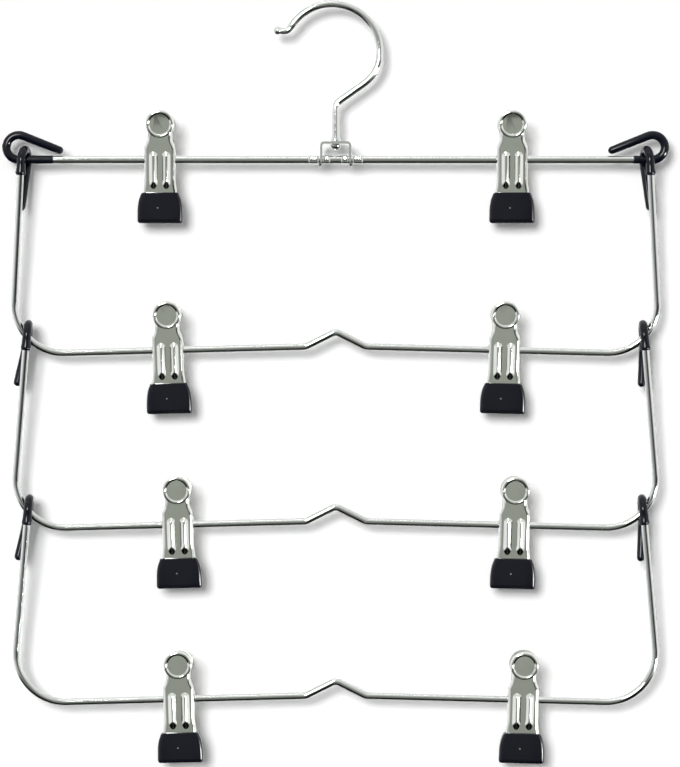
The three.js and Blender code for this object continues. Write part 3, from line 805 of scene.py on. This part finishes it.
def model_plate(clip, half):
    """The pressed pan of a jaw: round pad, neck, shoulders and tongue with an edge that is turned back."""
    bm = bmesh.new()
    neck_half = min(NECK[0], half - clip.sheet)
    leave = -math.acos(NECK[0] / clip.pad)
    pad = Vector((0, 0, PAD_Z))
    right = bm.verts.new(pad + ray(leave) * clip.pad)
    arc = bmesh.ops.spin(
        bm, geom=[right], cent=pad, axis=FACING, angle=math.pi - 2 * leave, steps=PAD_STEPS
    )
    left = verts_among(arc["geom_last"])[0]
    side = [(neck_half, NECK[1]), (half, SHOULDER_Z), (half, WAIST_Z), FLARE, TONGUE]
    down = [bm.verts.new((-x, 0, z)) for x, z in side]
    up = [bm.verts.new((x, 0, z)) for x, z in reversed(side)]
    add_edges(bm, [left, *down, *up, right])
    bmesh.ops.contextual_create(bm, geom=bm.edges)
    round_corners(bm, [*down, *up], PLATE_CORNER, MIDDLE_STEPS)
    bmesh.ops.recalc_face_normals(bm, faces=bm.faces)
    if next(iter(bm.faces)).normal.y > 0:
        bmesh.ops.reverse_faces(bm, faces=bm.faces)
    outline = [edge for edge in bm.edges if min(vert.co.z for vert in edge.verts) > LIP_END_Z]
    extrude_edges(bm, outline, BACK * clip.lip)
    round_edges(bm, outline, clip.fold, WIDE_STEPS)
    bmesh.ops.solidify(bm, geom=bm.faces, thickness=clip.sheet)
    return bm


def model_rib():
    """A rib pressed out of a jaw: a dome drawn out to a length, with a long lower slope."""
    bm = turned(RIB_PROFILE)
    bmesh.ops.rotate(bm, verts=bm.verts, matrix=Matrix.Rotation(-math.pi / 2, 3, RIGHT))
    upper = [vert for vert in bm.verts if vert.co.z > -WELD]
    lower = [vert for vert in bm.verts if vert.co.z <= -WELD]
    bmesh.ops.scale(bm, verts=lower, vec=(1, 1, RIB_TAPER))
    bmesh.ops.translate(bm, verts=lower, vec=UP * RIB_BOTTOM)
    bmesh.ops.translate(bm, verts=upper, vec=UP * RIB_TOP)
    return bm


def model_ear(clip):
    """A side tab of a jaw in the YZ plane, bored for the bar."""
    bm = bmesh.new()
    edge = clip.fold - clip.offset
    rim = clip.lip - clip.offset
    start = bm.verts.new((0, EAR_RADIUS * math.cos(EAR_WRAP), -EAR_RADIUS * math.sin(EAR_WRAP)))
    arc = bmesh.ops.spin(bm, geom=[start], cent=(0, 0, 0), axis=RIGHT, angle=2 * EAR_WRAP, steps=EAR_STEPS)
    end = verts_among(arc["geom_last"])[0]
    reach = EAR_RADIUS + EAR_SPREAD
    corners = [(rim, reach), (edge, SHOULDER_Z), (edge, WAIST_Z), (rim, -reach)]
    add_edges(bm, [end, *[bm.verts.new((0, y, z)) for y, z in corners], start])
    turn = Matrix.Rotation(math.pi / 2, 4, BACK)
    bmesh.ops.create_circle(bm, segments=TURNED_SIDES, radius=clip.ear_bore / 2, matrix=turn)
    bmesh.ops.triangle_fill(bm, edges=bm.edges, use_beauty=True)
    extrude_faces(bm, list(bm.faces), RIGHT * clip.sheet)
    return bm


def model_jaw(clip, half):
    """One jaw in front of the bar: pan, pad ring, two ribs and two ears, leaning in towards its tip."""
    bm = bmesh.new()
    face = -clip.offset - clip.sheet / 2
    absorb(bm, model_plate(clip, half), Matrix.Translation((0, face, 0)))
    upright = Matrix.Rotation(-math.pi / 2, 4, RIGHT)
    absorb(bm, turned(RING_PROFILE), Matrix.Translation((0, face, PAD_Z)) @ upright)
    for side in SIDES.values():
        absorb(bm, model_rib(), Matrix.Translation((side * RIB_X, face, 0)))
        absorb(bm, model_ear(clip), Matrix.Translation((side * half - (side > 0) * clip.sheet, 0, 0)))
    bmesh.ops.rotate(bm, verts=bm.verts, matrix=Matrix.Rotation(PLATE_LEAN, 3, RIGHT))
    return bm


def model_boot(clip):
    """One rubber tip in front of the clip's middle: flared sides, soft edges and its gate mark."""
    bm = bmesh.new()
    slope = math.tan(PLATE_LEAN)
    outer = -(clip.offset + clip.sheet / 2 + clip.boot_wall) / math.cos(PLATE_LEAN)
    chain = [(-x, z) for x, z in BOOT_SIDE] + [(x, z) for x, z in reversed(BOOT_SIDE)]
    verts = [bm.verts.new((x, outer - z * slope, z)) for x, z in chain]
    bm.faces.new(verts)
    lower = [vert for vert in verts if vert.co.z < BOOT_BOTTOM + WELD]
    middle = [vert for vert in verts if BOOT_BOTTOM + WELD < vert.co.z < BOOT_TOP - WELD]
    round_corners(bm, lower, clip.boot_corner, WIDE_STEPS)
    round_corners(bm, middle, BOOT_FLARE_RADIUS, NARROW_STEPS)
    front = [edge for edge in bm.edges if min(vert.co.z for vert in edge.verts) < BOOT_TOP - WELD]
    back = extrude_faces(bm, list(bm.faces), BACK)
    bmesh.ops.scale(bm, verts=back, vec=(1, 0, 1), space=Matrix.Translation((0, clip.boot_face, 0)))
    rear = edges_among(back)
    round_edges(bm, front, clip.boot_edge, MIDDLE_STEPS)
    round_edges(bm, rear, BOOT_REAR_EDGE, FINE_STEPS)
    middle_z = (BOOT_TOP + BOOT_BOTTOM) / 2
    upright = Matrix.Rotation(PLATE_LEAN - math.pi / 2, 4, RIGHT)
    # The gate nub takes the second material, whose pale colour is a painted highlight
    gate = turned(GATE_PROFILE, GATE_SIDES)
    for face in gate.faces:
        face.material_index = 1
    absorb(bm, gate, Matrix.Translation((GATE_X, outer - middle_z * slope, middle_z)) @ upright)
    return bm


def model_spring(clip):
    """The torsion spring round the bar, with one arm up each jaw."""
    bm = bmesh.new()
    start = math.pi + SPRING_ARM_LEAN
    sweep = math.pi - 2 * SPRING_ARM_LEAN + SPRING_FULL_TURNS * math.tau
    rise = clip.spring_pitch / math.tau
    radius = clip.spring_radius
    first = Vector((-rise * sweep / 2, radius * math.cos(start), radius * math.sin(start)))
    heading = Vector((rise, -first.z, first.y)).normalized()
    wire = WireBender(bm, first - heading * clip.spring_arm, heading, clip.spring_wire, SPRING_SIDES)
    wire.cap()
    wire.run(clip.spring_arm)
    wire.coil((first.x, 0, 0), RIGHT, sweep, clip.spring_pitch)
    wire.run(clip.spring_arm)
    wire.cap()
    return bm, rise * sweep / 2


class HANGER_OT_hook(Operator):
    """Models the swivel hook and its saddle"""

    bl_idname = "hanger.hook"
    bl_label = "Hook and saddle"

    def execute(self, context):
        hook = millimetres(context.scene.hanger_hook)
        finish = wire_finish(context)
        wire = model_swivel_hook(hook)
        make_piece("swivel_hook_wire", wire, Matrix(), finish, "bright_wire", "swivel_hook", "hook")
        sheet = model_saddle(hook)
        make_piece("saddle_sheet", sheet, Matrix(), finish, "bright_wire", "hook_saddle", "saddle")
        return {"FINISHED"}


class HANGER_OT_bar(Operator):
    """Models the top bar and the moulded hooks on its ends"""

    bl_idname = "hanger.bar"
    bl_label = "Top bar"

    def execute(self, context):
        wires = millimetres(context.scene.hanger_wires)
        finish = wire_finish(context)
        place = at(0, 0, BAR_Z)
        make_piece("top_bar_wire", model_top_bar(wires), place, finish, "bright_wire", "top_bar", "bar")
        for name, side in SIDES.items():
            shape = model_moulded_hook(
                wires, wires.bar, wires.end_mouth, END_SOCKETS[name], END_TURN, END_ARM
            )
            turn = Matrix.Rotation(math.pi if side < 0 else 0, 4, "Z")
            hook_place = at(side * END_LOOP_X, 0, BAR_Z + wires.loop) @ turn
            make_piece(
                f"end_hook_{name}_moulding", shape, hook_place, moulding_finish(context), "moulding",
                f"end_hook_{name}", "bar",
            )
        return {"FINISHED"}


class HANGER_OT_tiers(Operator):
    """Models the three bent tiers and the moulded hooks on their legs"""

    bl_idname = "hanger.tiers"
    bl_label = "Tiers"

    def execute(self, context):
        wires = millimetres(context.scene.hanger_wires)
        tilt = Matrix.Rotation(math.asin(wires.loop / wires.drop), 4, "X")
        for tier, (hook_x, yaw, lean) in TIERS.items():
            place = Matrix.Translation(JOINTS[f"{tier}_swing"]["pos_m"]) @ tilt
            make_piece(
                f"{tier}_wire", model_tier(wires, hook_x), place @ at(0, -wires.loop, 0),
                wire_finish(context), "bright_wire", f"{tier}_frame", tier,
            )
            for name, side in SIDES.items():
                shape = model_moulded_hook(
                    wires, wires.tier, wires.leg_mouth, LEG_SOCKET, LEG_TURN, LEG_ARM, side * yaw, lean,
                    LEG_BEAD,
                )
                make_piece(
                    f"{tier}_hook_{name}_moulding", shape, place @ leg_hook_place(wires, hook_x, side),
                    moulding_finish(context), "moulding", f"{tier}_hook_{name}", tier,
                )
        return {"FINISHED"}


class HANGER_OT_clips(Operator):
    """Models the jaws, rubber tips and springs of the eight clips"""

    bl_idname = "hanger.clips"
    bl_label = "Clips"

    def execute(self, context):
        clip = millimetres(context.scene.hanger_clips)
        spring, reach = model_spring(clip)
        boot = model_boot(clip)
        jaws = {"front": model_jaw(clip, clip.front_half), "rear": model_jaw(clip, clip.rear_half)}
        turns = {"front": Matrix(), "rear": Matrix.Rotation(math.pi, 4, "Z")}
        for name in [f"{tier}_{side}" for tier in ("tier_1", *TIERS) for side in SIDES]:
            place = joint_place(f"{name}_swing")
            for end, turn in turns.items():
                make_piece(
                    f"{name}_{end}_plate", jaws[end].copy(), place @ turn, plate_finish(context),
                    "clip_plate", f"{name}_{end}_jaw", f"{name}_{end}",
                )
                tip = make_piece(
                    f"{name}_{end}_boot", boot.copy(), place @ turn, rubber_finish(context), "rubber_tip",
                    f"{name}_{end}_tip", f"{name}_{end}",
                )
                # Second material: the painted highlight on the gate nub
                tip.data.materials.append(gate_highlight_finish(context))
            coil = make_piece(
                f"{name}_coil_wire", spring.copy(), place, spring_finish(context), "spring_wire",
                f"{name}_spring",
            )
            start, end = place @ (RIGHT * -reach * MM), place @ (RIGHT * reach * MM)
            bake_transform(coil)
        for shape in (spring, boot, *jaws.values()):
            shape.free()
        return {"FINISHED"}


class HANGER_OT_stage(Operator):
    """Makes the backdrop, the studio light and the camera"""

    bl_idname = "hanger.stage"
    bl_label = "Stage"

    def execute(self, context):
        scene = context.scene
        stage = scene.hanger_stage
        scene.view_settings.view_transform = "Standard"
        middle = Vector((stage.view_x, 0, -stage.view_drop))
        camera = bpy.data.cameras.new("camera")
        camera.lens = camera.sensor_width * stage.distance / stage.view_height
        viewer = bpy.data.objects.new("camera", camera)
        viewer.location = middle + FACING * stage.distance
        viewer.rotation_euler = (math.pi / 2, 0, 0)
        scene.collection.objects.link(viewer)
        scene.camera = viewer
        make_backdrop(middle + BACK * stage.backdrop, stage.backdrop_size)
        make_key(scene)
        for name, (direction, size, power) in SOFT_BOXES.items():
            place = middle - direction.normalized() * stage.box_distance
            make_soft_box(scene, name, place, direction, size, power)
        make_world(scene)
        return {"FINISHED"}


def make_backdrop(centre, size):
    """A clear sheet close behind the hanger that takes away the light the hanger keeps from it.

    A tier that swings past the sheet stays in sight, and so does the hanger from behind.
    """
    bm = bmesh.new()
    place = Matrix.Translation(centre) @ Matrix.Rotation(math.pi / 2, 4, "X")
    bmesh.ops.create_grid(bm, x_segments=1, y_segments=1, size=size / 2, matrix=place)
    material = bpy.data.materials.new("Shadow on white paper")
    material.use_nodes = True
    tree = material.node_tree
    tree.nodes.clear()
    full = BACKDROP_SHADE * (KEY_STRENGTH * KEY_DIRECTION.dot(BACK) / math.pi + STUDIO_FILL)
    clear = add_node(tree, "ShaderNodeBsdfTransparent", {"Color": WHITE}).outputs["BSDF"]
    lit = add_node(tree, "ShaderNodeBsdfDiffuse", {"Color": (*[BACKDROP_SHADE] * 3, 1)}).outputs["BSDF"]
    less = add_node(tree, "ShaderNodeEmission", {"Color": WHITE, "Strength": BACKDROP_MARGIN - full})
    shadow = add_node(tree, "ShaderNodeAddShader", {0: lit, 1: less.outputs["Emission"]}).outputs["Shader"]
    front = add_node(tree, "ShaderNodeAddShader", {0: clear, 1: shadow}).outputs["Shader"]
    back = add_node(tree, "ShaderNodeNewGeometry").outputs["Backfacing"]
    seen = add_node(tree, "ShaderNodeMixShader", {0: back, 1: front, 2: clear})
    add_node(tree, "ShaderNodeOutputMaterial", {"Surface": seen.outputs["Shader"]})
    sheet = add_mesh("backdrop", bm, material)
    sheet.visible_diffuse = False
    sheet.visible_glossy = False
    sheet.visible_shadow = False


def make_key(scene):
    """The soft key light, which isn't seen in reflections."""
    lamp = bpy.data.lights.new("key", "SUN")
    lamp.energy = KEY_STRENGTH
    lamp.angle = KEY_ANGLE
    holder = bpy.data.objects.new("key", lamp)
    holder.rotation_euler = KEY_DIRECTION.to_track_quat("-Z", "Y").to_euler()
    holder.visible_glossy = False
    scene.collection.objects.link(holder)


def make_soft_box(scene, name, place, direction, size, power):
    """A soft box that is only seen in reflections."""
    lamp = bpy.data.lights.new(name, "AREA")
    lamp.shape = "ELLIPSE"
    lamp.size, lamp.size_y = size
    lamp.energy = power
    holder = bpy.data.objects.new(name, lamp)
    holder.location = place
    holder.rotation_euler = direction.to_track_quat("-Z", "Y").to_euler()
    holder.visible_diffuse = False
    scene.collection.objects.link(holder)


def share_between(tree, value, low, high):
    """How far a value lies from a low mark to a high one, from 0 to 1."""
    share = add_node(tree, "ShaderNodeMapRange", {"Value": value, "From Min": low, "From Max": high})
    return share.outputs["Result"]


def make_ramp(tree, value, stops):
    """Shades that change with a value between -1 and 1."""
    ramp = add_node(tree, "ShaderNodeValToRGB", {"Fac": share_between(tree, value, -1.0, 1.0)})
    elements = ramp.color_ramp.elements
    while len(elements) < len(stops):
        elements.new(1)
    for element, (place, shade) in zip(elements, stops):
        element.position = (place + 1) / 2
        element.color = (*linear(shade), 1)
    return ramp.outputs["Color"]


def mix_shades(tree, share, first, second):
    """A mix of two shades."""
    return add_node(tree, "ShaderNodeMix", {0: share, 6: first, 7: second}, data_type="RGBA").outputs[2]


def make_world(scene):
    """A studio that metal reflects, plain fill for the rest, and white behind the hanger."""
    world = bpy.data.worlds.new("Studio")
    world.use_nodes = True
    scene.world = world
    tree = world.node_tree
    tree.nodes.clear()
    spot = add_node(tree, "ShaderNodeTexCoord").outputs["Generated"]
    part = add_node(tree, "ShaderNodeSeparateXYZ", {"Vector": spot}).outputs
    away = add_node(tree, "ShaderNodeMath", {0: part["X"]}, operation="ABSOLUTE").outputs["Value"]
    behind = share_between(tree, part["Y"], *STUDIO_BEHIND)
    beside = add_node(
        tree, "ShaderNodeMath",
        {0: share_between(tree, away, *STUDIO_BESIDE), 1: share_between(tree, part["Z"], *STUDIO_CEILING)},
        operation="MULTIPLY",
    )
    off = add_node(tree, "ShaderNodeMath", {0: beside.outputs["Value"], 1: behind}, operation="MAXIMUM")
    level = add_node(
        tree, "ShaderNodeMath",
        {
            0: share_between(tree, part["Z"], *STUDIO_HORIZON_FOOT),
            1: share_between(tree, part["Z"], *STUDIO_HORIZON_TOP),
        },
        operation="MULTIPLY",
    )
    across, horizon = [make_ramp(tree, part["X"], stops) for stops in (STUDIO_ACROSS, STUDIO_HORIZON)]
    room = mix_shades(tree, level.outputs["Value"], across, horizon)
    around = mix_shades(tree, behind, room, WHITE)
    above = mix_shades(tree, share_between(tree, part["Z"], *STUDIO_FLOOR), BLACK, around)
    studio = mix_shades(tree, off.outputs["Value"], make_ramp(tree, part["Z"], STUDIO_FRONT), above)
    path = add_node(tree, "ShaderNodeLightPath").outputs
    reflected = add_node(tree, "ShaderNodeBackground", {"Color": studio, "Strength": 1.0})
    fill = add_node(tree, "ShaderNodeBackground", {"Color": WHITE, "Strength": STUDIO_FILL})
    lit = add_node(
        tree, "ShaderNodeMixShader",
        {0: path["Is Glossy Ray"], 1: fill.outputs["Background"], 2: reflected.outputs["Background"]},
    )
    paper = add_node(tree, "ShaderNodeBackground", {"Color": WHITE, "Strength": 1.0})
    seen = add_node(
        tree, "ShaderNodeMixShader",
        {0: path["Is Camera Ray"], 1: lit.outputs["Shader"], 2: paper.outputs["Background"]},
    )
    add_node(tree, "ShaderNodeOutputWorld", {"Surface": seen.outputs["Shader"]})


class HANGER_PT_tools(Panel):
    """Lists the steps that build the hanger"""

    bl_label = "Trouser hanger"
    bl_space_type = "VIEW_3D"
    bl_region_type = "UI"
    bl_category = "Hanger"

    def draw(self, context):
        for operator in OPERATORS:
            self.layout.operator(operator.bl_idname)


OPERATORS = (HANGER_OT_hook, HANGER_OT_bar, HANGER_OT_tiers, HANGER_OT_clips, HANGER_OT_stage)
GROUPS = {
    "hanger_hook": HookSizes,
    "hanger_wires": WireSizes,
    "hanger_clips": ClipSizes,
    "hanger_colours": FinishColours,
    "hanger_stage": StageSizes,
}


def register():
    for name, group in GROUPS.items():
        bpy.utils.register_class(group)
        setattr(bpy.types.Scene, name, PointerProperty(type=group))
    for item in (*OPERATORS, HANGER_PT_tools):
        bpy.utils.register_class(item)


def unregister():
    for item in (HANGER_PT_tools, *reversed(OPERATORS)):
        bpy.utils.unregister_class(item)
    for name, group in GROUPS.items():
        delattr(bpy.types.Scene, name)
        bpy.utils.unregister_class(group)


def main():
    """Builds the hanger and its stage."""
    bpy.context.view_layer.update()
    register()
    bpy.ops.hanger.hook()
    bpy.ops.hanger.bar()
    bpy.ops.hanger.tiers()
    bpy.ops.hanger.clips()
    bpy.ops.hanger.stage()


if __name__ == "__main__":
    main()
